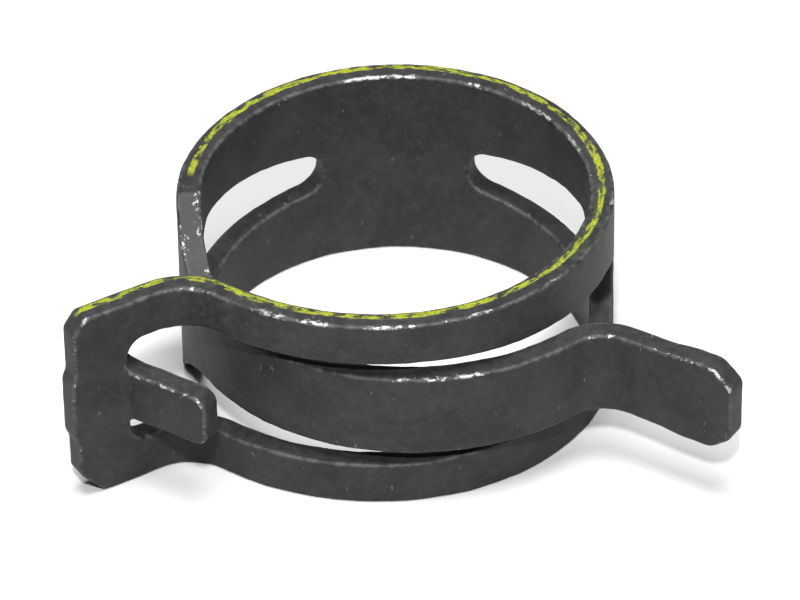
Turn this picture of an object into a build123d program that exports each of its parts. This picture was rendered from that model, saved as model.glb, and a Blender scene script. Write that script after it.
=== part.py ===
from build123d import *
from math import cos, degrees, radians, sin, tan
import os

# Spring band hose clamp in its free state.  One strip of spring steel is blanked to a web, a fork and a
# tongue, and rolled so that the tongue passes between the two rails of the fork.  Both ends are bent out as
# tangs.
# The strip is divided along the lines where it flexes, so that it opens as a chain of small hinges.
#
# Frame: +Z is the axis of the ring and Z = 0 its middle, the web stands at +Y, and the crossing is at -Y.
# "Turn" is how far round from the middle of the web a place lies, in degrees: clockwise, seen from above, on
# the fork side, and anticlockwise on the tongue side.  "Along" is a distance from the bend of a tang.

# ---- driving dimensions, millimetres and degrees ---
band_width = 15.0              # full width of the strip
thickness = 1.7                # the sheet it is blanked from
bore_radius = 13.35            # inside of the ring, free
flex_gap = 0.12                # room at each hinge line, which closes at its outer corner as the ring opens

window_tip = (22.3, 1.5)       # a window begins on each side of the web: turn, and half height there
window_tip_corner = 1.4
window_wide = (89.0, 3.5)      # the windows widen evenly towards this turn and half height
window_close = {1: (82.5, 2.0), -1: (89.0, 2.4)}    # where fork's and tongue's are closed, and its rounding

throat_start = (91.5, 2.0)     # the fork opens here, past its window: turn, and half height there
throat_corner = 1.0
throat_join = (107.0, 3.35)    # its rails are this far from the middle here,
throat_wide = (170.0, 4.3)     # and, spreading evenly, this far here and beyond

tongue_half = 3.15             # half width of the tongue
narrow_start = 90.5            # the tongue side narrows from full width here
narrow_end = 118.0             # to the tongue here,
narrow_power = 1.65            # steeply at first, as this power of what is left of the way

slot_into_tang = 2.4           # the throat of the fork runs this far along the tang
fork_corner = (1.3, 1.55)      # corners cut off the fork tang: along it, and across it
nub = (0.3, 2.2, 2.9)          # tie of the blank on the fork tang: its height, half width at top and at foot

tab_half = 1.95                # half width of the stop tab between the rails
tab_meet = 2.68                # along the tang, where the outer faces of tang and tab would meet
tab_fold = (0.8, 63.4)         # inside radius of the tab's fold, and its angle
tab_reach = 6.4                # from that meeting line to the tip
tab_corner = 1.1

tongue_tang_half = 3.38        # the tongue's tang is this half width beyond its step
tongue_tang_step = (3.0, 4.4)  # where the step starts and ends along the tang
tongue_corner = (1.5, 1.25)    # corners cut off the tongue's tang: along it, and across it

# Arcs of each side from the web on, as (turn where the arc ends, radius of the middle of the sheet).
middle_radius = bore_radius + thickness / 2
FORK, TONGUE = 1, -1
arcs_of = {FORK: [(115.0, middle_radius), (175.0, 15.1), (218.0, 17.3)],
           TONGUE: [(115.0, middle_radius), (175.0, 15.45), (219.4, 16.3)]}
# Hinge lines of each side, as turns, in order from the web.
hinges_of = {FORK: [37.0, 57.0, 74.0, 107.0, 137.0, 170.0],
             TONGUE: [37.0, 57.0, 74.0, 107.0, 137.0, 170.0]}
# Outward bend before each tang (radius of the middle of the sheet, angle), and the length of each tang.
bend_of = {FORK: (4.35, 69.0), TONGUE: (3.65, 71.8)}
tang_length = {FORK: 6.35, TONGUE: 8.3}

half_band = band_width / 2
half_sheet = thickness / 2
first_hinge = hinges_of[FORK][0]
gap_turn = degrees(flex_gap / 2 / middle_radius)
overrun = 2.0                  # how far a cutting outline runs past what it cuts


# ---- the strip's path in plan ---
def outward(side, turn):
    """Unit vector in plan from an arc's centre to the strip."""
    return Vector(side * sin(radians(turn)), cos(radians(turn)))


def ahead(side, turn):
    """Unit vector in plan along the strip, away from the web."""
    return Vector(side * cos(radians(turn)), -sin(radians(turn)))


def heading(side, turn):
    """The same direction as an angle from +X towards +Y."""
    return -turn if side == FORK else 180 + turn


def ring_point(side, turn, shift=0.0):
    """Point of the ring, shift mm outside the middle of the sheet.  Each arc starts where the last one ended
    and in the same direction, so its centre lies on the line from the last centre to that place."""
    centre, reached, last_radius = Vector(0, 0), 0.0, middle_radius
    for arc_end, radius in arcs_of[side]:
        centre += outward(side, reached) * (last_radius - radius)
        if turn <= arc_end:
            break
        reached, last_radius = arc_end, radius
    return centre + outward(side, turn) * (radius + shift)


def tang_turn(side):
    """The turn at which the ring runs the same way as the flat of the tang."""
    return arcs_of[side][-1][0] - bend_of[side][1]


def tang_point(side, along, shift=0.0):
    """Point of a tang, shift mm outside the middle of the sheet."""
    ring_end, bend_radius, flat = arcs_of[side][-1][0], bend_of[side][0], tang_turn(side)
    bend_centre = ring_point(side, ring_end, bend_radius)
    return bend_centre + outward(side, flat) * (shift - bend_radius) + ahead(side, flat) * along


def edge_plane(side, turn, origin=(0, 0, 0)):
    """Upright plane along the strip at a turn: its X runs away from the web and its Y is upward."""
    return Plane(origin=origin, x_dir=ahead(side, turn), z_dir=outward(side, turn) * -side)


def across(turn):
    """How far along the strip a place appears that lies this many degrees from the radius looked along."""
    return middle_radius * sin(radians(turn))


def evenly(turn, first, last):
    """Half height at a turn that goes evenly from one (turn, half height) to another."""
    return first[1] + (turn - first[0]) / (last[0] - first[0]) * (last[1] - first[1])


def window_half(turn):
    """Half height of the windows, which widen evenly away from the web."""
    return evenly(turn, window_tip, window_wide)


def throat_half(turn):
    """Half height of the fork's throat along the rails that lead to its tang."""
    return evenly(turn, throat_join, throat_wide)


def narrow_half(turn):
    """Half width of the tongue side between its full width and the tongue."""
    left = (narrow_end - turn) / (narrow_end - narrow_start)
    return tongue_half + (half_band - tongue_half) * left ** narrow_power


# ---- outlines in plan ---
def ring_moves(side, start, end):
    """The arcs between two turns, as (radius, turn) moves; an arc that turns left is positive."""
    moves = []
    for arc_end, radius in arcs_of[side]:
        stop = min(arc_end, end)
        if stop > start:
            moves.append((radius, (start - stop) * side))
            start = stop
    return moves


def bent_outline(start, angle, moves):
    """Outline in plan of a strip of the sheet that starts at a place and follows the moves.  A move is a
    (radius, turn) arc, which turns left if positive, or a length of straight."""
    with BuildSketch(Plane.XY) as outline:
        with BuildLine():
            starts, ends = [], []
            for shift in (half_sheet, -half_sheet):
                direction = Vector(1, 0).rotate(Axis.Z, angle)
                point = start + direction.rotate(Axis.Z, 90) * shift
                starts.append(point)
                for move in moves:
                    if isinstance(move, tuple):
                        radius, turn = move
                        edge_radius = radius - shift if turn > 0 else radius + shift
                        point = JernArc(point, direction, edge_radius, turn) @ 1
                        direction = direction.rotate(Axis.Z, turn)
                    else:
                        point = Line(point, point + direction * move) @ 1
                ends.append(point)
            Line(*starts)
            Line(*ends)
        make_face()
    return outline.sketch


def zone_outline(side, start, end, further=()):
    """Outline in plan of one side's strip between two turns, less the gaps at its ends, and further."""
    start = start + gap_turn
    end = end if further else end - gap_turn
    moves = ring_moves(side, start, end) + list(further)
    return bent_outline(ring_point(side, start), heading(side, start), moves)


def save(part, label):
    part.label = label
    export_step(part, f"parts/{label}.step")


os.makedirs("parts", exist_ok=True)

# ---- web: the back of the ring, with the rounded tip of a window let into each end ---
tip_reach = across(first_hinge - window_tip[0])
tip_slope = (window_half(first_hinge) - window_tip[1]) / tip_reach

with BuildPart() as back_web:
    extrude(bent_outline(ring_point(TONGUE, first_hinge - gap_turn), first_hinge - gap_turn,
                         [(middle_radius, -2 * (first_hinge - gap_turn))]), amount=half_band, both=True)
    for side in (FORK, TONGUE):
        with BuildSketch(edge_plane(side, first_hinge)):
            with BuildLine():
                past = window_half(first_hinge) + tip_slope * overrun
                Polyline((-tip_reach, window_tip[1]), (overrun, past), (overrun, -past),
                         (-tip_reach, -window_tip[1]), close=True)
            make_face()
            fillet(vertices().group_by(Axis.X)[0], radius=window_tip_corner)
        extrude(amount=2 * middle_radius, both=True, mode=Mode.SUBTRACT)
save(back_web.part, "back_web")

# ---- rails above and below the windows and the throat, as (side, name, zone from its hinge, half height) ---
rail_zones = [(FORK, "fork", 1, 0, window_half), (FORK, "fork", 2, 1, window_half),
              (FORK, "fork", 3, 3, throat_half), (FORK, "fork", 4, 4, throat_half),
              (TONGUE, "window", 1, 0, window_half), (TONGUE, "window", 2, 1, window_half)]

for side, name, number, zone, half_at in rail_zones:
    start, end = hinges_of[side][zone], hinges_of[side][zone + 1]
    near_half, far_half = half_at(start), half_at(end)
    reach = across((end - start) / 2)
    rise = (far_half - near_half) / (2 * reach) * overrun
    for way, level in ((1, "upper"), (-1, "lower")):
        with BuildPart() as rail:
            extrude(zone_outline(side, start, end), amount=half_band, both=True)
            with BuildSketch(edge_plane(side, (start + end) / 2)):
                with BuildLine():
                    Polyline((-reach - overrun, way * (near_half - rise)),
                             (reach + overrun, way * (far_half + rise)),
                             (reach + overrun, way * half_band), (-reach - overrun, way * half_band),
                             close=True)
                make_face()
            extrude(amount=2 * middle_radius, both=True, mode=Mode.INTERSECT)
        save(rail.part, f"{name}_{level}_rail_{number}")

# ---- bridge of the fork: the metal between the closed end of its window and that of its throat ---
looked_along = narrow_start
bridge_start, bridge_end = hinges_of[FORK][2], hinges_of[FORK][3]

with BuildSketch(edge_plane(FORK, looked_along)) as bridge_side_face:
    back = across(bridge_start - looked_along) - overrun
    front = across(bridge_end - looked_along) + overrun
    with BuildLine():
        Polyline((back, half_band), (front, half_band), (front, -half_band), (back, -half_band), close=True)
    make_face()
    with BuildLine():
        close_turn, close_corner = window_close[FORK]
        close = across(close_turn - looked_along)
        open_half, close_half = window_half(bridge_start), window_half(close_turn)
        before = back - 2 * close_corner
        FilletPolyline((before, open_half), (close, close_half), (close, -close_half), (before, -open_half),
                       radius=close_corner)
        Line((before, open_half), (before, -open_half))
    make_face(mode=Mode.SUBTRACT)
    with BuildLine():
        throat, throat_end = across(throat_start[0] - looked_along), across(throat_join[0] - looked_along)
        spread = (throat_join[1] - throat_start[1]) / (throat_end - throat)
        beyond = (front + overrun, throat_start[1] + spread * (front + overrun - throat))
        FilletPolyline(beyond, (throat, throat_start[1]), (throat, -throat_start[1]), (beyond[0], -beyond[1]),
                       radius=throat_corner)
        Line(beyond, (beyond[0], -beyond[1]))
    make_face(mode=Mode.SUBTRACT)

with BuildPart() as fork_bridge:
    extrude(zone_outline(FORK, bridge_start, bridge_end), amount=half_band, both=True)
    extrude(bridge_side_face.sketch, amount=2 * middle_radius, both=True, mode=Mode.INTERSECT)
save(fork_bridge.part, "fork_bridge")

# ---- fork end: two arms that carry the rails through the bend, the tang that joins them, its stop tab ---
fork_ring_end = arcs_of[FORK][-1][0]

for level, low in (("upper", throat_wide[1]), ("lower", -half_band)):
    with BuildPart() as fork_arm:
        arm_outline = zone_outline(FORK, hinges_of[FORK][-1], fork_ring_end, (bend_of[FORK], slot_into_tang))
        extrude(Plane.XY.offset(low) * arm_outline, amount=half_band - throat_wide[1])
    save(fork_arm.part, f"fork_{level}_arm")

fold_radius, fold_angle = tab_fold
fold_setback = fold_radius * tan(radians(fold_angle / 2))
fold_start = tab_meet + fold_setback
nub_height, nub_top, nub_foot = nub
fork_end = tang_length[FORK]

with BuildPart() as fork_tang:
    with BuildSketch(edge_plane(FORK, tang_turn(FORK), tang_point(FORK, 0))):
        with BuildLine():
            for way in (1, -1):
                Polyline((fold_start, 0), (fold_start, way * tab_half), (slot_into_tang, way * tab_half),
                         (slot_into_tang, way * half_band), (fork_end - fork_corner[0], way * half_band),
                         (fork_end, way * (half_band - fork_corner[1])), (fork_end, way * nub_foot),
                         (fork_end + nub_height, way * nub_top), (fork_end + nub_height, 0))
        make_face()
    extrude(amount=half_sheet, both=True)
save(fork_tang.part, "fork_tang")

with BuildPart() as stop_tab:
    tab_moves = [(fold_radius + half_sheet, -fold_angle), tab_reach - fold_setback]
    tab_outline = bent_outline(tang_point(FORK, fold_start), heading(FORK, tang_turn(FORK)) + 180, tab_moves)
    extrude(tab_outline, amount=tab_half, both=True)
    tab_face = outward(FORK, tang_turn(FORK)).rotate(Axis.Z, -fold_angle)
    fillet(stop_tab.edges().filter_by(Axis((0, 0, 0), tab_face)), radius=tab_corner)
save(stop_tab.part, "stop_tab")

# ---- shoulder: the closed end of the other window, and the strip narrowing to the tongue ---
shoulder_start, shoulder_end = hinges_of[TONGUE][2], hinges_of[TONGUE][3]
narrowing_turns = [narrow_start + share * (narrow_end - narrow_start) for share in (0, 0.25, 0.5, 0.75, 1)]

with BuildSketch(edge_plane(TONGUE, looked_along)) as tongue_side_face:
    with BuildLine():
        back = across(shoulder_start - looked_along) - overrun
        front = across(hinges_of[TONGUE][4] - looked_along) + overrun
        for way in (1, -1):
            narrowing = [(across(turn - looked_along), way * narrow_half(turn)) for turn in narrowing_turns]
            Polyline((back, 0), (back, way * half_band), narrowing[0])
            Spline(*narrowing)
            Polyline(narrowing[-1], (front, way * tongue_half), (front, 0))
    make_face()
    with BuildLine():
        close_turn, close_corner = window_close[TONGUE]
        close = across(close_turn - looked_along)
        open_half, close_half = window_half(shoulder_start), window_half(close_turn)
        before = back - 2 * close_corner
        FilletPolyline((before, open_half), (close, close_half), (close, -close_half), (before, -open_half),
                       radius=close_corner)
        Line((before, open_half), (before, -open_half))
    make_face(mode=Mode.SUBTRACT)

with BuildPart() as shoulder:
    extrude(zone_outline(TONGUE, shoulder_start, shoulder_end), amount=half_band, both=True)
    extrude(tongue_side_face.sketch, amount=2 * middle_radius, both=True, mode=Mode.INTERSECT)
save(shoulder.part, "shoulder")

# ---- tongue: two flexing lengths, the neck that bends out, and the tang ---
with BuildPart() as tongue_1:
    extrude(zone_outline(TONGUE, hinges_of[TONGUE][3], hinges_of[TONGUE][4]), amount=half_band, both=True)
    extrude(tongue_side_face.sketch, amount=2 * middle_radius, both=True, mode=Mode.INTERSECT)
save(tongue_1.part, "tongue_1")

with BuildPart() as tongue_2:
    extrude(zone_outline(TONGUE, hinges_of[TONGUE][4], hinges_of[TONGUE][5]), amount=tongue_half, both=True)
save(tongue_2.part, "tongue_2")

tongue_ring_end = arcs_of[TONGUE][-1][0]
neck_bend = (bend_of[TONGUE][0], -bend_of[TONGUE][1])

with BuildPart() as tongue_neck:
    extrude(zone_outline(TONGUE, hinges_of[TONGUE][-1], tongue_ring_end, (neck_bend,)),
            amount=tongue_half, both=True)
save(tongue_neck.part, "tongue_neck")

step_start, step_end = tongue_tang_step
tongue_end = tang_length[TONGUE]

with BuildPart() as tongue_tang:
    with BuildSketch(edge_plane(TONGUE, tang_turn(TONGUE), tang_point(TONGUE, 0))):
        with BuildLine():
            for way in (1, -1):
                Polyline((0, 0), (0, way * tongue_half), (step_start, way * tongue_half),
                         (step_end, way * tongue_tang_half),
                         (tongue_end - tongue_corner[0], way * tongue_tang_half),
                         (tongue_end, way * (tongue_tang_half - tongue_corner[1])), (tongue_end, 0))
        make_face()
    extrude(amount=half_sheet, both=True)
save(tongue_tang.part, "tongue_tang")
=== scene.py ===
from math import atan, ceil, cos, degrees, hypot, pi, radians, sin, sqrt, tan

import bpy
import numpy as np
from mathutils import Matrix, Vector


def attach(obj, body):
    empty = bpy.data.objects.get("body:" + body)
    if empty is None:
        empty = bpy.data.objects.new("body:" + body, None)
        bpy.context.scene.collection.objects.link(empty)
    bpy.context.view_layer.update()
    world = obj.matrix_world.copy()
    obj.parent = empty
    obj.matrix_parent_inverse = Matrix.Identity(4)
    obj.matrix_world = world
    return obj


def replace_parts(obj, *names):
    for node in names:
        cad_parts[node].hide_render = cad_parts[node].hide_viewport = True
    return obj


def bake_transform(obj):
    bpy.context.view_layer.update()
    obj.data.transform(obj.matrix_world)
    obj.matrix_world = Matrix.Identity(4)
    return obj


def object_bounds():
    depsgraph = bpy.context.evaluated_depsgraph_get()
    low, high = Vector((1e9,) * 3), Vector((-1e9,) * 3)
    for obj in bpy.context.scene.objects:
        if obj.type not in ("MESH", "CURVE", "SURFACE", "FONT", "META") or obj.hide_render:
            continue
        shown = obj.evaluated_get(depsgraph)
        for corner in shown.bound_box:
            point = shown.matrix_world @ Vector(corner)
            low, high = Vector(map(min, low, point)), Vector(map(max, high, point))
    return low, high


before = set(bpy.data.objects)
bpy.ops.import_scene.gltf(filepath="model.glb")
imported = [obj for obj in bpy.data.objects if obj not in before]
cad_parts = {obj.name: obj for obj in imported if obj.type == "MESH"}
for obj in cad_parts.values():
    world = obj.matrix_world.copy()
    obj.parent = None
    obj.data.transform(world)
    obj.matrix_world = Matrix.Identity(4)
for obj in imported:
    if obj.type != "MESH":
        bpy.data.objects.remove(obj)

cad_low, cad_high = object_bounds()

# The strip is drawn unrolled, as lengths along it and heights across it in millimetres, and is then laid on
# the rolled path of its middle.  "Turn" is how far round from the middle of the web a place lies, in degrees.
MM = 0.001
FORK, TONGUE = 1, -1

# ---- driving sizes of the strip, as in the part ---------------------------------------------------------
HALF_BAND = 7.5
HALF_SHEET = 0.85
MIDDLE_RADIUS = 14.2
ARCS = {FORK: [(115.0, 14.2), (175.0, 15.1), (218.0, 17.3)],
        TONGUE: [(115.0, 14.2), (175.0, 15.45), (219.4, 16.3)]}
BEND = {FORK: (4.35, 69.0), TONGUE: (3.65, 71.8)}
TANG = {FORK: 6.35, TONGUE: 8.3}
HINGES = [37.0, 57.0, 74.0, 107.0, 137.0, 170.0]

WINDOW_TIP_TURN, WINDOW_TIP_HALF = 22.3, 1.5
WINDOW_WIDE_TURN, WINDOW_WIDE_HALF = 89.0, 3.5
WINDOW_CLOSE = {FORK: (82.5, 2.0), TONGUE: (89.0, 2.4)}
THROAT_TURNS, THROAT_HALVES, THROAT_CORNER = [91.5, 107.0, 170.0], [2.0, 3.35, 4.3], 1.0
TONGUE_HALF, NARROW_START, NARROW_END, NARROW_POWER = 3.15, 90.5, 118.0, 1.65
SLOT_INTO_TANG, SLOT_END_CORNER = 2.35, 1.3
TAB_HALF, TAB_MEET, TAB_FOLD, TAB_FOLD_ANGLE, TAB_REACH = 1.95, 2.68, 0.8, 63.4, 6.4
TAB_ROOT_HALF = 2.6

EDGE_ROUND = 0.24              # rounding of the blanked edges, tumbled and coated
ROW = 0.2                      # spacing of rows along the strip
SOFTENING_POINTS = 1600        # points of an outline whose corners are being rounded
BATCH = 4000                   # points measured to the edges at a time
NEAR_EDGE = np.array([0.0, 0.06, 0.18, 0.36, 0.58, 0.8, 1.05, 1.4, 1.8]) * EDGE_ROUND


# ---- the path of the strip ------------------------------------------------------------------------------
def outward(side, turn):
    """Unit vectors in plan from inside the ring to outside, at turns in radians: (side sin, cos)."""
    return np.stack([side * np.sin(turn), np.cos(turn)], -1)


def ahead(side, turn):
    """Unit vectors in plan along the strip, away from the web: (side cos, minus sin)."""
    return np.stack([side * np.cos(turn), -np.sin(turn)], -1)


def path_spans(side):
    """The spans of one side's middle line, each as (length where it starts, first point, first turn,
    turn per millimetre).  A span of turning rate k moves by (outward(last turn) - outward(first)) / k."""
    spans, length, turn, point = [], 0.0, 0.0, np.array([0.0, MIDDLE_RADIUS])
    bend_radius, bend_angle = BEND[side]
    pieces = [(radians(end), 1 / radius) for end, radius in ARCS[side]]
    pieces.append((radians(ARCS[side][-1][0] - bend_angle), -1 / bend_radius))
    for end, rate in pieces:
        spans.append((length, point, turn, rate))
        point = point + (outward(side, end) - outward(side, turn)) / rate
        length, turn = length + (end - turn) / rate, end
    spans.append((length, point, turn, 0.0))
    return spans


SPANS = {side: path_spans(side) for side in (FORK, TONGUE)}
TANG_START = {side: SPANS[side][-1][0] for side in (FORK, TONGUE)}


def at_turn(side, turn):
    """Length along the strip where the ring has turned this many degrees."""
    for (length, _, first, rate), (end, _) in zip(SPANS[side], ARCS[side]):
        if turn <= end:
            return length + (radians(turn) - first) / rate


def middle(side, along):
    """Middle line of the sheet at lengths along it: its points in plan, and its turns."""
    along = np.asarray(along, float)
    point, turn = np.zeros(along.shape + (2,)), np.zeros(along.shape)
    for length, start, first, rate in SPANS[side]:
        here = along >= length - 1e-9
        now = first + rate * (along - length)
        if rate:
            place = start + (outward(side, now) - outward(side, first)) / rate
        else:
            place = start + ahead(side, np.full(along.shape, first)) * (along - length)[..., None]
        point = np.where(here[..., None], place, point)
        turn = np.where(here, now, turn)
    return point, turn


def on_strip(side):
    """The way from (length, height, offset) to a place: the middle line's point, plus the offset outward."""
    def lay(along, height, offset):
        point, turn = middle(side, along)
        plan = point + outward(side, turn) * offset[..., None]
        return np.concatenate([plan, height[..., None]], -1)
    return lay


def on_tab(along, height, offset):
    """The same for the stop tab, whose length starts where it leaves the flat of the fork tang.  It turns
    out of the tang's plane on an arc about its outer face, and then runs straight."""
    radius, fold = TAB_FOLD + HALF_SHEET, radians(TAB_FOLD_ANGLE)
    start, turn = middle(FORK, TANG_START[FORK] + TAB_ROOT)
    back, out = -ahead(FORK, turn), outward(FORK, turn)
    angle = np.clip(along / radius, 0, fold)
    straight = np.maximum(along - radius * fold, 0)
    forth = radius * np.sin(angle) + straight * np.cos(angle) - offset * np.sin(angle)
    rise = radius * (1 - np.cos(angle)) + straight * np.sin(angle) + offset * np.cos(angle)
    plan = start + back * forth[..., None] + out * rise[..., None]
    return np.concatenate([plan, height[..., None]], -1)


TAB_SETBACK = TAB_FOLD * tan(radians(TAB_FOLD_ANGLE / 2))
TAB_ROOT = TAB_MEET + TAB_SETBACK
TAB_LENGTH = (TAB_FOLD + HALF_SHEET) * radians(TAB_FOLD_ANGLE) + TAB_REACH - TAB_SETBACK


# ---- outlines of the unrolled strip ---------------------------------------------------------------------
WINDOW_TIP = at_turn(FORK, WINDOW_TIP_TURN)
WINDOW_SLOPE = (WINDOW_WIDE_HALF - WINDOW_TIP_HALF) / (at_turn(FORK, WINDOW_WIDE_TURN) - WINDOW_TIP)
SLOPE_LENGTH = hypot(1, WINDOW_SLOPE)
# radius of the circle that touches the tip and both sides of a window
TIP_RADIUS = WINDOW_TIP_HALF / (SLOPE_LENGTH - WINDOW_SLOPE)
THROAT_ALONG = [at_turn(FORK, turn) for turn in THROAT_TURNS]


def window_half(along):
    """Half height of a window, which grows evenly from its tip."""
    return WINDOW_TIP_HALF + WINDOW_SLOPE * (along - WINDOW_TIP)


def throat_half(along):
    """Half height of the fork's throat: evenly from each of its given places to the next."""
    return np.interp(along, THROAT_ALONG, THROAT_HALVES)


def narrow_half(along):
    """Half height of the tongue side: full, then narrowing as a power of what is left of the way."""
    first, last = at_turn(TONGUE, NARROW_START), at_turn(TONGUE, NARROW_END)
    left = np.clip((last - along) / (last - first), 0, 1)
    return TONGUE_HALF + (HALF_BAND - TONGUE_HALF) * left ** NARROW_POWER


def steps(start, end, spacing=ROW):
    """Evenly spaced values from start to end, at most this far apart."""
    return np.linspace(start, end, max(2, ceil(abs(end - start) / spacing) + 1))


def line(*points):
    """Points about a row apart along the straight lines that join the given ones."""
    runs = [np.stack([np.linspace(a[0], b[0], n), np.linspace(a[1], b[1], n)], -1)[:-1]
            for a, b in zip(points, points[1:])
            for n in [max(2, ceil(hypot(b[0] - a[0], b[1] - a[1]) / ROW) + 1)]]
    return np.concatenate(runs + [np.array([points[-1]], float)])


def arc(centre, radius, start, end):
    """Points of a circle's arc between two angles in degrees, closely spaced."""
    angle = np.radians(steps(start, end, 6.0))
    return np.stack([centre[0] + radius * np.cos(angle), centre[1] + radius * np.sin(angle)], -1)


def mirrored(points):
    """An outline above the middle, followed by its mirror image below, walked back."""
    return np.concatenate([points, (points * [1, -1])[::-1][1 if abs(points[-1, 1]) < 1e-9 else 0:]])


def spread(outline, share):
    """Points of an outline at shares of its whole length."""
    run = np.concatenate([[0], np.cumsum(np.hypot(*np.diff(outline, axis=0).T))])
    return np.stack([np.interp(share * run[-1], run, outline[:, k]) for k in (0, 1)], -1)


def shares(outline):
    """Share of the whole length at each point of an outline."""
    run = np.concatenate([[0], np.cumsum(np.hypot(*np.diff(outline, axis=0).T))])
    return run / run[-1]


def softened(outline, reach):
    """An outline whose corners are rounded: each point is the mean of those within reach along it."""
    last = SOFTENING_POINTS - 1
    dense = spread(outline, np.linspace(0, 1, SOFTENING_POINTS))
    count = max(1, int(reach / (np.hypot(*np.diff(dense, axis=0).T).sum() / last)))
    offsets = np.arange(-count, count + 1)
    every = np.arange(SOFTENING_POINTS)
    index = np.clip(every[:, None] + offsets[None, :], 0, last)
    room = np.minimum(every, last - every)[:, None]
    keep = (np.abs(offsets)[None, :] <= room)[..., None]
    return (dense[index] * keep).sum(1) / keep.sum(1)


# ---- surface of the strip -------------------------------------------------------------------------------
rng = np.random.default_rng(23)
WAVES = rng.normal(size=(14, 3)) * np.array([1.0, 1.0, 0.6]) * np.geomspace(0.5, 2.6, 14)[:, None]
PHASES = rng.uniform(0, 2 * pi, 14)


def unevenness(place):
    """Slow unevenness of rolled strip, about -1 to 1: fourteen plane waves of fixed directions added."""
    return np.sin(place @ WAVES.T + PHASES).sum(-1) / 4.5


def from_edges(points, edges):
    """Distance of each unrolled point to the nearest edge line of the metal, by the foot on each segment."""
    starts = np.concatenate([edge[:-1] for edge in edges])
    vectors = np.concatenate([np.diff(edge, axis=0) for edge in edges])
    squared = np.maximum((vectors ** 2).sum(-1), 1e-12)
    found = np.empty(len(points))
    for first in range(0, len(points), BATCH):
        gap = points[first:first + BATCH, None] - starts
        foot = np.clip((gap * vectors).sum(-1) / squared, 0, 1)
        found[first:first + BATCH] = np.sqrt(((gap - vectors * foot[..., None]) ** 2).sum(-1)).min(1)
    return found


# Places painted bright, in signed strip millimetres: partly scuffs down to bare metal, partly painted
# highlights along top edges. Each as (from, to, lowest, highest, innermost, outermost, how much).
TOP, OUT, IN = 7.1, 0.45, -0.45
SCUFFS_AND_HIGHLIGHTS = [
    (-4.2, 1.8, TOP, 8, -1, IN, 0.66), (5.4, 7.4, TOP, 8, -1, IN, 0.6), (-9.0, -7.6, TOP, 8, -1, IN, 0.4),
    (9.5, 13.5, TOP, 8, -1, IN, 0.45), (15.5, 18.5, TOP, 8, -1, IN, 0.55), (20.5, 21.6, TOP, 8, -1, IN, 0.4),
    (-25.2, -22.0, 0, 8, -1, -0.05, 0.5), (-29.5, -26.3, 0, 8, -0.8, -0.2, 0.5),
    (-26.4, -23.6, 0, 8, 0.2, 0.8, 0.5), (-22.0, -20.8, TOP, 8, 0.2, 0.9, 0.5),
    (23.2, 25.0, TOP, 8, OUT, 1, 0.5), (33.0, 35.0, TOP, 8, OUT, 1, 0.4), (38.0, 42.0, TOP, 8, OUT, 1, 0.42),
    (43.6, 47.4, TOP, 8, OUT, 1, 0.60), (49.0, 51.4, TOP, 8, 0.3, 1, 0.64),
    (51.7, 54.2, TOP, 8, 0.3, 1, 0.62), (57.5, 61.0, TOP, 8, OUT, 1, 0.4),
    (51.0, 52.2, 5.5, 6.3, 0.5, 1, 0.55), (67.3, 68.8, TOP, 8, OUT, 1, 0.75),
    (68.2, 69.4, -6, 6.5, OUT, 1, 0.25), (-50.8, -44.6, 2.9, 3.6, OUT, 1, 0.6),
    (-62.0, -58.0, 2.9, 3.6, OUT, 1, 0.45), (-70.4, -68.3, 1.9, 3.5, 0.6, 1, 0.6),
    (-67.5, -63.0, 3.0, 3.6, OUT, 1, 0.4), (-70.4, -68.6, -3.5, -1.8, OUT, 1, 0.45)]
# Bright places on the stop tab: scuffs, and painted highlights along its top and tip edges.
SCUFFS_AND_HIGHLIGHTS_TAB = [(1.5, 7.6, 1.6, 2.2, 0.6, 1, 0.40), (6.9, 7.6, -2.2, 2.2, 0.6, 1, 0.7),
            (2.5, 7.6, -2.2, -1.6, 0.6, 1, 0.35)]


def zone_amount(marks, zones):
    """How bright a place is painted, for scuffs and for painted highlights: the most that any zone gives,
    each its own amount in the middle and fading straight to nothing over soft ends along, up and across."""
    most = np.zeros(marks.shape[:-1])
    for first, last, low, high, inner, outer, amount in zones:
        share = amount
        for k, (start, end, soft) in enumerate(((first, last, 0.9), (low, high, 0.3), (inner, outer, 0.3))):
            place = marks[..., k]
            rise, fall = (place - start) / soft + 0.5, (end - place) / soft + 0.5
            share = share * np.clip(rise, 0, 1) * np.clip(fall, 0, 1)
        most = np.maximum(most, share)
    return most


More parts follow.
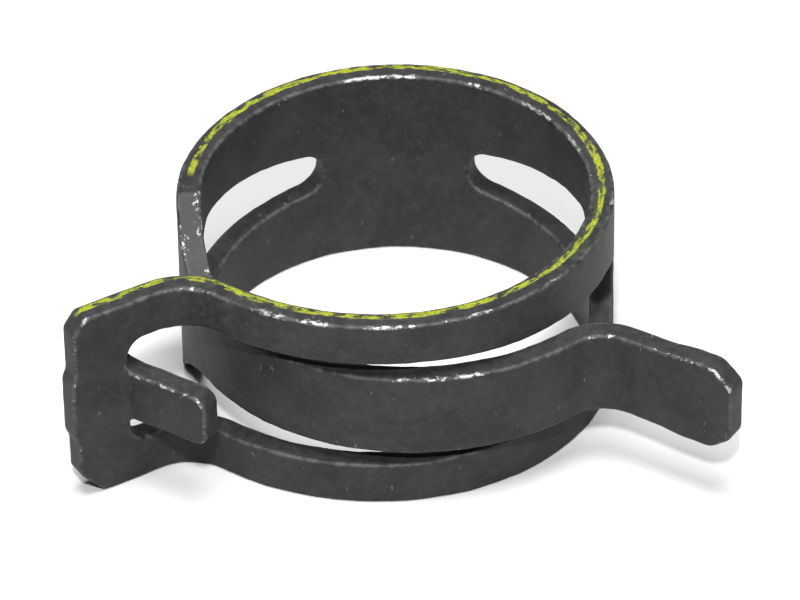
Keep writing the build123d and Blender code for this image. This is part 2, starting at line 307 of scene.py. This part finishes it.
def band(name, lay, lower, upper, edges, side, zones=SCUFFS_AND_HIGHLIGHTS):
    """A closed length of the strip.  Rows join each point of one outline to a point of the other, and are
    sampled closely near both ends.  Offsets of the two faces are half the sheet, less a quarter round near
    an edge: half sheet - r + sqrt(r2 - (r - distance)2).  Walls close the edges and caps close the ends."""
    span = upper - lower
    width = np.hypot(span[:, 0], span[:, 1])
    inner = steps(0, 1, 1 / max(4, round(width.mean() / 0.4)))[1:-1]
    near = NEAR_EDGE[None, :] * np.minimum(1, 0.45 * width / NEAR_EDGE[-1])[:, None]
    between = near[:, -1:] + (width[:, None] - 2 * near[:, -1:]) * inner[None, :]
    reach = np.concatenate([near, between, width[:, None] - near[:, ::-1]], 1) / width[:, None]
    flat = lower[:, None] + span[:, None] * reach[..., None]
    distance = from_edges(flat.reshape(-1, 2), edges).reshape(reach.shape)
    signed = side * flat[..., 0]
    lumps = unevenness(np.stack([signed, flat[..., 1], np.zeros_like(signed)], -1))
    rounding = EDGE_ROUND * (1 + 0.22 * lumps)
    into = rounding - np.minimum(distance, rounding)
    offset = HALF_SHEET - rounding + np.sqrt(np.maximum(rounding ** 2 - into ** 2, 0))

    wall = np.array([0.55, 0.0, -0.55])
    sheet_front = np.concatenate([flat, offset[..., None], distance[..., None]], -1)
    sheet_back = sheet_front[:, ::-1] * [1, 1, -1, 1]
    wall_upper = np.repeat(sheet_front[:, -1:], 3, 1)
    wall_upper[..., 2] *= wall
    wall_lower = np.repeat(sheet_front[:, :1], 3, 1)
    wall_lower[..., 2] *= -wall
    loop = np.concatenate([sheet_front, wall_upper, sheet_back, wall_lower], 1)
    rows, count = loop.shape[:2]
    along, height, offset, distance = (loop[..., k] for k in range(4))
    marks = np.stack([side * along, height, offset], -1)
    sag = 0.018 * unevenness(marks * [0.8, 0.8, 0.0])
    place = lay(along, height, offset + sag) * MM

    index = np.arange(rows * count).reshape(rows, count)
    quads = np.stack([index[:-1], np.roll(index[:-1], -1, 1), np.roll(index[1:], -1, 1), index[1:]], -1)
    quads = quads.reshape(-1, 4)
    corners = place.reshape(-1, 3)
    a, b, c, d = (corners[quads[:, k]] for k in range(4))
    volume = (a * np.cross(b, c)).sum() + (a * np.cross(c, d)).sum()
    caps = [index[0][::-1], index[-1]]
    if volume < 0:
        quads, caps = quads[:, ::-1], [cap[::-1] for cap in caps]
    mesh = bpy.data.meshes.new(name)
    mesh.from_pydata(corners.tolist(), [], quads.tolist() + [cap.tolist() for cap in caps])
    mesh.shade_smooth()
    mesh.set_sharp_from_angle(angle=radians(42))
    mesh.attributes.new("strip_mm", "FLOAT_VECTOR", "POINT").data.foreach_set(
        "vector", marks.reshape(-1).astype(np.float32))
    if lay is on_tab:
        web_side = np.full(along.shape, 5.0)
    else:
        web_side = offset - 0.4 * np.cos(middle(side, along)[1])
    measures = {"from_edge_mm": distance, "from_stripe_mm": web_side, "scuffed_and_highlit": zone_amount(marks, zones)}
    for kind, values in measures.items():
        mesh.attributes.new(kind, "FLOAT", "POINT").data.foreach_set(
            "value", values.reshape(-1).astype(np.float32))
    piece = bpy.data.objects.new(name, mesh)
    bpy.context.scene.collection.objects.link(piece)
    piece.data.materials.append(coated_steel)
    return piece


def flex(piece, side, number, reach=7.0):
    """Finds the ends of this hinge's bending zone, this many degrees to each side of it, and bakes the
    piece's placement into its mesh; the piece is not bent.
    """
    turn = HINGES[number - 1]
    ends = [middle(side, at_turn(side, turn + way * reach))[0] * MM for way in (-1, 1)]
    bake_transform(piece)


def columns(along, half):
    """An outline point above the middle at each length along."""
    return np.stack([along, np.broadcast_to(half, along.shape)], -1)


# ---- materials ------------------------------------------------------------------------------------------
class Wire:
    """An output socket.  Sums, differences and products of wires and numbers add their Math nodes."""
    def __init__(self, bench, socket):
        self.bench, self.socket = bench, socket

    def math(self, operation, *values):
        return self.bench.node("ShaderNodeMath", {"operation": operation}, dict(enumerate(values)))

    def __add__(self, other): return self.math("ADD", self, other)
    def __radd__(self, other): return self.math("ADD", other, self)
    def __sub__(self, other): return self.math("SUBTRACT", self, other)
    def __rsub__(self, other): return self.math("SUBTRACT", other, self)
    def __mul__(self, other): return self.math("MULTIPLY", self, other)
    def __rmul__(self, other): return self.math("MULTIPLY", other, self)
    def __abs__(self): return self.math("ABSOLUTE", self)

    def between(self, low, high):
        """0 below low, 1 above high, and a smooth rise from one to the other; it falls if low is above."""
        return self.bench.node("ShaderNodeMapRange", {"interpolation_type": "SMOOTHSTEP"},
                               {"Value": self, "From Min": low, "From Max": high})


class Bench:
    """A material being made: node() adds any node to it from its type, settings and sockets."""
    def __init__(self, name):
        self.material = bpy.data.materials.new(name)
        self.material.use_nodes = True
        self.tree = self.material.node_tree
        self.tree.nodes.clear()

    def node(self, kind, settings=None, sockets=None, output=0):
        made = self.tree.nodes.new(kind)
        for key, value in (settings or {}).items():
            setattr(made, key, value)
        for key, value in (sockets or {}).items():
            if isinstance(value, Wire):
                self.tree.links.new(value.socket, made.inputs[key])
            else:
                made.inputs[key].default_value = value
        return Wire(self, made.outputs[output]) if len(made.outputs) else made

    def mix(self, share, first, second):
        """A colour that goes from the first to the second as share goes from 0 to 1."""
        sockets = {0: share, 6: first, 7: second}
        return self.node("ShaderNodeMix", {"data_type": "RGBA"}, sockets, output=2)

    def noise(self, place, scale, detail=2.0, roughness=0.5, distortion=0.0):
        """Cloudy noise about 0.5, of this many clouds in a millimetre."""
        return self.node("ShaderNodeTexNoise", None, {
            "Vector": place, "Scale": scale, "Detail": detail, "Roughness": roughness,
            "Distortion": distortion})

    def stretched(self, place, scale):
        """A place whose three measures are multiplied by these."""
        return self.node("ShaderNodeVectorMath", {"operation": "MULTIPLY"}, {0: place, 1: scale})


def coated_steel_material():
    """Dark phosphate coat on blanked spring steel: cloudy greys with fine grain, edges made bright by scuffs
    and by painted highlights, and marking paint, mostly scraped away, on the upper edge."""
    b = Bench("coated_spring_steel")
    place = b.node("ShaderNodeAttribute", {"attribute_name": "strip_mm"}, output=1)
    from_edge = b.node("ShaderNodeAttribute", {"attribute_name": "from_edge_mm"}, output=2)
    parts = b.tree.nodes.new("ShaderNodeSeparateXYZ")
    b.tree.links.new(place.socket, parts.inputs[0])
    along, height, offset = (Wire(b, parts.outputs[k]) for k in range(3))

    # zone amounts for scuffs and for painted highlights along top edges
    scuffed_and_highlit = b.node("ShaderNodeAttribute", {"attribute_name": "scuffed_and_highlit"}, output=2)
    from_stripe = b.node("ShaderNodeAttribute", {"attribute_name": "from_stripe_mm"}, output=2)

    clouds = b.noise(place, 0.32, 2.0, 0.5)
    blotches = b.noise(place, 1.5, 4.0, 0.62, 0.4)
    grain = b.noise(place, 6.5, 3.0, 0.65)
    fine = b.noise(place, 20.0, 2.0, 0.6)
    shade = (clouds * 0.5 + blotches * 0.45 + grain * 0.45 - 0.2).between(0.3, 0.7)
    colour = b.mix(shade, (0.0116, 0.0112, 0.0121, 1), (0.0258, 0.0250, 0.0264, 1))
    dusty = (fine + (blotches - 0.5) * 0.4).between(0.58, 0.72)
    colour = b.mix(dusty * 0.30, colour, (0.10, 0.10, 0.10, 1))

    # paler rolled corners, and bright edge marks: scuffs down to bare metal, and painted highlights along top
    # edges
    corner = from_edge.between(0.26, 0.06) * abs(offset).between(0.5, 0.72)
    flecks = b.noise(b.stretched(place, (0.8, 1.3, 1.3)), 2.6, 3.0, 0.62)
    colour = b.mix(corner * blotches.between(0.35, 0.65) * 0.5, colour, (0.085, 0.085, 0.085, 1))
    edge_scuff_and_highlight = (corner * 0.16 + scuffed_and_highlit * 0.85 + (flecks - 0.5) * 2.0).between(0.54, 0.80)
    scuffed_and_highlit_edges = edge_scuff_and_highlight * (scuffed_and_highlit + corner * 0.2).between(0.02, 0.2) * from_edge.between(0.22, 0.12)
    # mixes in bright grey: bare metal at scuffs, and painted highlights along top edges
    colour = b.mix(scuffed_and_highlit_edges * 0.85, colour, (0.36, 0.355, 0.35, 1))
    scuffs = b.noise(b.stretched(place, (1.6, 0.7, 1.0)), 1.25, 2.0, 0.5).between(0.70, 0.78)
    colour = b.mix(scuffs * grain * 0.45, colour, (0.30, 0.30, 0.30, 1))

    # marking paint along the upper edge, mostly worn thin, with a trace of it on the faces beside
    streaks = b.noise(b.stretched(place, (0.55, 1.0, 1.6)), 1.9, 4.0, 0.66)
    kept = height.between(7.1, 7.4) * along.between(-20.6, -19.6) * along.between(68.6, 67.6)
    width = 0.24 + (clouds - 0.5) * 0.3 + (streaks - 0.5) * 0.5
    painted = kept * (width - abs(from_stripe)).between(-0.06, 0.10) * streaks.between(0.40, 0.54)
    lime = b.mix(grain.between(0.3, 0.7), (0.13, 0.15, 0.010, 1), (0.27, 0.30, 0.016, 1))
    colour = b.mix(painted * 0.92, colour, lime)
    beside_flank = along.between(21.0, 25.0) * along.between(35.0, 31.0)
    beside_bend = along.between(51.0, 53.0) * along.between(61.0, 58.5) * 0.7
    trace = height.between(3.0, 7.0) * (beside_flank + beside_bend) * blotches.between(0.45, 0.62)
    colour = b.mix(trace * 0.30, colour, (0.040, 0.060, 0.022, 1))

    roughness = 0.56 + (blotches - 0.5) * 0.25 + (grain - 0.5) * 0.2 - scuffed_and_highlit_edges * 0.12
    relief = grain * 0.6 + fine * 0.45 + blotches * 0.6 + painted * 0.3 - scuffed_and_highlit_edges * 0.2
    normal = b.node("ShaderNodeBump", None, {"Strength": 0.45, "Distance": 0.00007, "Height": relief})
    shader = b.node("ShaderNodeBsdfPrincipled", None, {
        "Base Color": colour, "Roughness": roughness, "Metallic": scuffed_and_highlit_edges * 0.5, "Normal": normal,
        "Specular IOR Level": 0.25})
    b.node("ShaderNodeOutputMaterial", None, {"Surface": shader})
    return b.material


coated_steel = coated_steel_material()


# ---- pieces of the strip --------------------------------------------------------------------------------
def web_half(side, name, end_turn):
    """Half of the web with the first lengths of both rails, wrapped round the tip of the window."""
    end = at_turn(side, end_turn)
    centre = WINDOW_TIP + TIP_RADIUS
    touch = degrees(pi / 2 + atan(WINDOW_SLOPE))
    first = centre + TIP_RADIUS * cos(radians(touch))
    rail = steps(end, first)
    tip = arc((centre, 0), TIP_RADIUS, touch, 360 - touch)
    outside = line((first, HALF_BAND), (0, HALF_BAND), (0, -HALF_BAND), (first, -HALF_BAND))
    lower = np.concatenate([columns(rail[:-1], window_half(rail[:-1])), spread(tip, shares(outside)),
                            (columns(rail, window_half(rail)) * [1, -1])[::-1][1:]])
    upper = np.concatenate([columns(rail[:-1], HALF_BAND), outside, columns(rail, -HALF_BAND)[::-1][1:]])
    rims = [np.array([(end, level), (0, level)]) for level in (HALF_BAND, -HALF_BAND)]
    edges = [lower] + rims
    piece = band(name, on_strip(side), lower, upper, edges, side)
    flex(piece, side, 1)
    return piece


def rail_pair(side, name, number, start_turn, end_turn, half_at):
    """The upper and lower rails from one place to another, each between the opening and the band's edge."""
    along = steps(at_turn(side, start_turn), at_turn(side, end_turn))
    pair = []
    for way, level in ((1, "upper"), (-1, "lower")):
        slot_side, rim = columns(along, way * half_at(along)), columns(along, way * HALF_BAND)
        piece = band(f"{name}_{level}_{number}", on_strip(side), slot_side, rim, [slot_side, rim], side)
        flex(piece, side, number)
        pair.append(piece)
    return pair


def closing(side):
    """The upper half of a window's closed end: where its straight side stops, and the outline from there,
    round a corner and down to the middle."""
    turn, corner = WINDOW_CLOSE[side]
    close = at_turn(side, turn)
    centre = (close - corner, window_half(close - corner) - corner * SLOPE_LENGTH)
    touch = degrees(pi / 2 + atan(WINDOW_SLOPE))
    first = centre[0] + corner * cos(radians(touch))
    return first, np.concatenate([arc(centre, corner, touch, 0), line((close, centre[1]), (close, 0))[1:]])


def bridge_pair():
    """The bridge of the fork, as an upper and a lower half that meet along its middle.  Each runs along the
    window's side, round its closed end, along the middle, and round the closed end of the throat."""
    start, seam = at_turn(FORK, WINDOW_SEAMS[-1]), at_turn(FORK, MIDDLE_SEAM)
    first, end_of_window = closing(FORK)
    close, throat = end_of_window[-1, 0], THROAT_ALONG[0]
    slope = atan((THROAT_HALVES[1] - THROAT_HALVES[0]) / (THROAT_ALONG[1] - throat))
    set_back = THROAT_CORNER * tan(pi / 4 - slope / 2)
    centre = (throat + THROAT_CORNER, THROAT_HALVES[0] - set_back)
    end_of_throat = np.concatenate([line((throat, 0), (throat, centre[1]))[:-1],
                                    arc(centre, THROAT_CORNER, 180, 90 + degrees(slope))])
    rail, beyond = steps(start, first), steps(end_of_throat[-1, 0], seam)
    middle_line = line((close, 0), (throat, 0))
    lower = np.concatenate([columns(rail[:-1], window_half(rail[:-1])), end_of_window, middle_line[1:-1],
                            end_of_throat, columns(beyond, throat_half(beyond))[1:]])
    gap = throat - close
    rim = np.concatenate([rail[:-1], first + (close + 0.1 * gap - first) * shares(end_of_window),
                          close + gap * (0.1 + 0.8 * shares(middle_line)[1:-1]),
                          throat - 0.1 * gap + (beyond[0] - throat + 0.1 * gap) * shares(end_of_throat),
                          beyond[1:]])
    free = [np.concatenate([columns(rail[:-1], window_half(rail[:-1])), end_of_window]),
            np.concatenate([end_of_throat, columns(beyond, throat_half(beyond))[1:]])]
    pieces = []
    for way, level in ((1, "upper"), (-1, "lower")):
        flip = [1, way]
        edges = [edge * f for edge in free for f in ([1, 1], [1, -1])]
        outer = columns(rim, HALF_BAND) * flip
        pieces.append(band(f"bridge_{level}_half", on_strip(FORK), lower * flip, outer,
                           edges + [outer], FORK))
        flex(pieces[-1], FORK, 3, 6.0)
    return pieces


def shoulder_piece():
    """The closed end of the tongue side's window, wrapped by both rails as they join and start to narrow."""
    start, seam = at_turn(TONGUE, WINDOW_SEAMS[-1]), at_turn(TONGUE, MIDDLE_SEAM)
    first, end_of_window = closing(TONGUE)
    rail = steps(start, first)
    full_end = at_turn(TONGUE, NARROW_START)
    narrowing = steps(full_end, seam)
    rim = np.concatenate([line((first, HALF_BAND), (full_end, HALF_BAND)),
                          columns(narrowing, narrow_half(narrowing))[1:]])
    rim = softened(rim, 0.25)[::12]
    rim[-1] = (seam, narrow_half(seam))
    seam_half = line((seam, narrow_half(seam)), (seam, 0))[1:]
    outside = mirrored(np.concatenate([rim, seam_half]))
    lower = np.concatenate([columns(rail[:-1], window_half(rail[:-1])),
                            spread(mirrored(end_of_window), shares(outside)),
                            (columns(rail, window_half(rail)) * [1, -1])[::-1][1:]])
    upper = np.concatenate([columns(rail[:-1], HALF_BAND), outside, columns(rail, -HALF_BAND)[::-1][1:]])
    top = np.concatenate([columns(rail[:-1], HALF_BAND), rim])
    piece = band("shoulder_closed_end", on_strip(TONGUE), lower, upper, [lower, top, top * [1, -1]], TONGUE)
    flex(piece, TONGUE, 3, 6.0)
    return piece


def tongue_length(name, number, start_turn, end_turn):
    """A length of the tongue, between its lower and upper edges."""
    along = steps(at_turn(TONGUE, start_turn), at_turn(TONGUE, end_turn))
    half = narrow_half(along)
    piece = band(name, on_strip(TONGUE), columns(along, -half), columns(along, half),
                 [columns(along, -half), columns(along, half)], TONGUE)
    flex(piece, TONGUE, number)
    return piece


def near_end(start, end):
    """Lengths along to a free end, closer together over its rounding."""
    return np.concatenate([steps(start, end - NEAR_EDGE[-1])[:-1], end - NEAR_EDGE[::-1]])


def tongue_and_tang(start_turn):
    """The end of the tongue: the neck, the outward bend and the tang with its cut corners."""
    start, flat = at_turn(TONGUE, start_turn), TANG_START[TONGUE]
    end = flat + TANG[TONGUE]
    outline = softened(line((start, TONGUE_HALF), (flat + 3.0, TONGUE_HALF), (flat + 4.4, 3.38),
                            (end - 1.5, 3.38), (end, 2.13), (end, 0.4)), 0.45)
    along = near_end(start, end)
    half = np.interp(along, *outline[: np.argmax(outline[:, 0] >= end - 1e-6) + 1].T)
    tip = np.array([(end, half[-1]), (end, -half[-1])])
    rims = [columns(along, half), columns(along, -half)]
    piece = band("tongue_and_tang", on_strip(TONGUE), rims[1], rims[0], rims + [tip], TONGUE)
    flex(piece, TONGUE, 6, 8.0)
    return piece


def fork_and_tang(start_turn):
    """The end of the fork: both rails through the outward bend, and the tang that joins them, with the
    round-cornered end of the slot, a place for the root of the stop tab, cut corners and the blank's tie."""
    start, flat = at_turn(FORK, start_turn), TANG_START[FORK]
    slot_end, end = flat + SLOT_INTO_TANG, flat + TANG[FORK]
    corner = slot_end - SLOT_END_CORNER
    rail = steps(start, corner)
    straight = THROAT_HALVES[-1] - SLOT_END_CORNER
    round_end = np.concatenate([arc((corner, straight), SLOT_END_CORNER, 90, 0),
                                line((slot_end, straight), (slot_end, TAB_ROOT_HALF))[1:]])
    root = flat + TAB_ROOT
    slot_line = mirrored(np.concatenate([round_end, line((slot_end, TAB_ROOT_HALF), (root, TAB_HALF),
                                                         (root, 0))[1:]]))
    rim = softened(line((corner, HALF_BAND), (end - 0.9, HALF_BAND), (end, HALF_BAND - 1.1), (end, 2.9),
                        (end + 0.3, 2.2), (end + 0.3, -2.2), (end, -2.9), (end, 2.0 - HALF_BAND),
                        (end - 1.7, -HALF_BAND), (corner, -HALF_BAND)), 0.3)[::10]
    rim[-1] = (corner, -HALF_BAND)
    lower = np.concatenate([columns(rail[:-1], throat_half(rail[:-1])), spread(slot_line, shares(rim)),
                            (columns(rail, throat_half(rail)) * [1, -1])[::-1][1:]])
    upper = np.concatenate([columns(rail[:-1], HALF_BAND), rim, columns(rail, -HALF_BAND)[::-1][1:]])
    slot_edge = np.concatenate([columns(rail[:-1], throat_half(rail[:-1])), round_end])
    piece = band("fork_and_tang", on_strip(FORK), lower, upper, [slot_edge, slot_edge * [1, -1], upper], FORK)
    flex(piece, FORK, 6, 8.0)
    return piece


def stop_tab():
    """The tab folded out of the fork tang.  Its flanks flare into the end of the slot as quarter circles."""
    along = near_end(0, TAB_LENGTH)
    flare_start = TAB_ROOT - SLOT_INTO_TANG
    ease = flare_start + SLOT_END_CORNER
    round_flank = TAB_HALF + SLOT_END_CORNER - np.sqrt(SLOT_END_CORNER ** 2 - np.clip(
        ease - along, 0, SLOT_END_CORNER) ** 2)
    half = np.where(along < flare_start, TAB_HALF + (TAB_ROOT_HALF - TAB_HALF) * along / flare_start,
                    np.minimum(round_flank, TAB_ROOT_HALF))
    rims = []
    for way, corner in ((1, 1.1), (-1, 0.8)):
        into = np.clip(along - (TAB_LENGTH - corner), 0, corner)
        rims.append(columns(along, 1.0) * [1, 0] + np.stack(
            [0 * along, way * (half - corner + np.sqrt(corner ** 2 - into ** 2))], -1))
    tip = np.array([rims[0][-1], rims[1][-1]])
    free = along >= flare_start
    edges = [rims[0][free], rims[1][free], tip]
    piece = band("stop_tab_folded", on_tab, rims[1], rims[0], edges, FORK, SCUFFS_AND_HIGHLIGHTS_TAB)
    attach(piece, "fork_end")
    return piece


WINDOW_SEAMS = [47.0, 65.5]
MIDDLE_SEAM = 97.0
END_SEAMS = [122.0, 153.5]


def both_levels(kind, number):
    return [f"{kind}_{level}_rail_{number}" for level in ("upper", "lower")]


for side, kind, other in ((FORK, "fork", "fork"), (TONGUE, "tongue", "window")):
    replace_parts(web_half(side, f"web_{kind}_half", WINDOW_SEAMS[0]), "back_web", *both_levels(other, 1))
    pair = rail_pair(side, f"{other}_rail", 2, *WINDOW_SEAMS, window_half)
    for piece, node in zip(pair, both_levels(other, 2)):
        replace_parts(piece, node)
for piece in bridge_pair():
    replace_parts(piece, "fork_bridge")
for hinge, seams in ((4, (MIDDLE_SEAM, END_SEAMS[0])), (5, END_SEAMS)):
    pair = rail_pair(FORK, "fork_rail", hinge, *seams, throat_half)
    for piece, node in zip(pair, both_levels("fork", hinge - 1)):
        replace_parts(piece, node)
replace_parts(shoulder_piece(), "shoulder")
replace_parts(tongue_length("tongue_root", 4, MIDDLE_SEAM, END_SEAMS[0]), "tongue_1")
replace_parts(tongue_length("tongue_middle", 5, *END_SEAMS), "tongue_2")
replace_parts(tongue_and_tang(END_SEAMS[1]), "tongue_neck", "tongue_tang")
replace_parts(fork_and_tang(END_SEAMS[1]), "fork_upper_arm", "fork_lower_arm", "fork_tang")
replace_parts(stop_tab(), "stop_tab")


# ---- floor, light and camera ----------------------------------------------------------------------------
def pale_floor():
    """A round pale floor: rings of growing radius, level with the lower edge of the band."""
    radius, angle = np.linspace(0.02, 2.0, 24)[:, None], np.linspace(0, 2 * pi, 72, endpoint=False)[None]
    level = np.full((24, 72), cad_low.z - 0.00002)
    points = np.stack([radius * np.cos(angle), radius * np.sin(angle), level], -1).reshape(-1, 3)
    index = np.arange(24 * 72).reshape(24, 72)
    quads = np.stack([index[:-1], index[1:], np.roll(index[1:], -1, 1), np.roll(index[:-1], -1, 1)], -1)
    mesh = bpy.data.meshes.new("pale_floor")
    mesh.from_pydata(points.tolist(), [], quads.reshape(-1, 4).tolist() + [index[0].tolist()])
    floor = bpy.data.objects.new("pale_floor", mesh)
    bpy.context.scene.collection.objects.link(floor)
    b = Bench("pale_floor")
    object_place = b.node("ShaderNodeTexCoord", output=3)
    cloud = b.noise(object_place, 9.0, 2.0)
    colour = b.mix(cloud, (0.46, 0.46, 0.46, 1), (0.48, 0.48, 0.48, 1))
    shader = b.node("ShaderNodeBsdfPrincipled", None, {"Base Color": colour, "Roughness": 0.9,
                                                      "Specular IOR Level": 0.1})
    b.node("ShaderNodeOutputMaterial", None, {"Surface": shader})
    mesh.materials.append(b.material)


def soft_light(name, place, size, power, target=(0, 0, 0)):
    """A square area light that faces the target."""
    lamp = bpy.data.lights.new(name, "AREA")
    lamp.shape, lamp.size, lamp.energy = "SQUARE", size, power
    holder = bpy.data.objects.new(name, lamp)
    holder.location = place
    holder.rotation_mode = "QUATERNION"
    holder.rotation_quaternion = (Vector(target) - Vector(place)).to_track_quat("-Z", "Y")
    holder.visible_camera = False
    bpy.context.scene.collection.objects.link(holder)


def set_camera():
    """A long lens, looking down on the ring's axis from the side of the crossing."""
    elevation, azimuth, roll, distance = 0.6520968, 0.0026917, -0.0158547, 0.432
    back = Vector((sin(azimuth) * cos(elevation), -cos(azimuth) * cos(elevation), sin(elevation)))
    level = Vector((cos(azimuth), sin(azimuth), 0))
    above = back.cross(level)
    right, up = level * cos(roll) + above * sin(roll), above * cos(roll) - level * sin(roll)
    lens = bpy.data.cameras.new("camera")
    lens.sensor_width, lens.lens = 36.0, 280.2
    lens.clip_start, lens.clip_end = 0.01, 20.0
    holder = bpy.data.objects.new("camera", lens)
    place = back * distance + right * 0.232 * MM - up * 1.635 * MM
    holder.matrix_world = Matrix((right, up, back)).transposed().to_4x4()
    holder.matrix_world.translation = place
    bpy.context.scene.collection.objects.link(holder)
    bpy.context.scene.camera = holder


def white_world():
    world = bpy.data.worlds.new("soft_white")
    world.use_nodes = True
    background = next(n for n in world.node_tree.nodes if n.type == "BACKGROUND")
    background.inputs["Color"].default_value = (1, 1, 1, 1)
    background.inputs["Strength"].default_value = 0.10
    bpy.context.scene.world = world


pale_floor()
white_world()
soft_light("overhead", (0.0, -0.05, 0.60), 0.35, 6.9)
soft_light("key_front", (-0.01, -0.42, 0.50), 0.05, 5.5)
set_camera()
bpy.context.scene.view_settings.view_transform = "Standard"
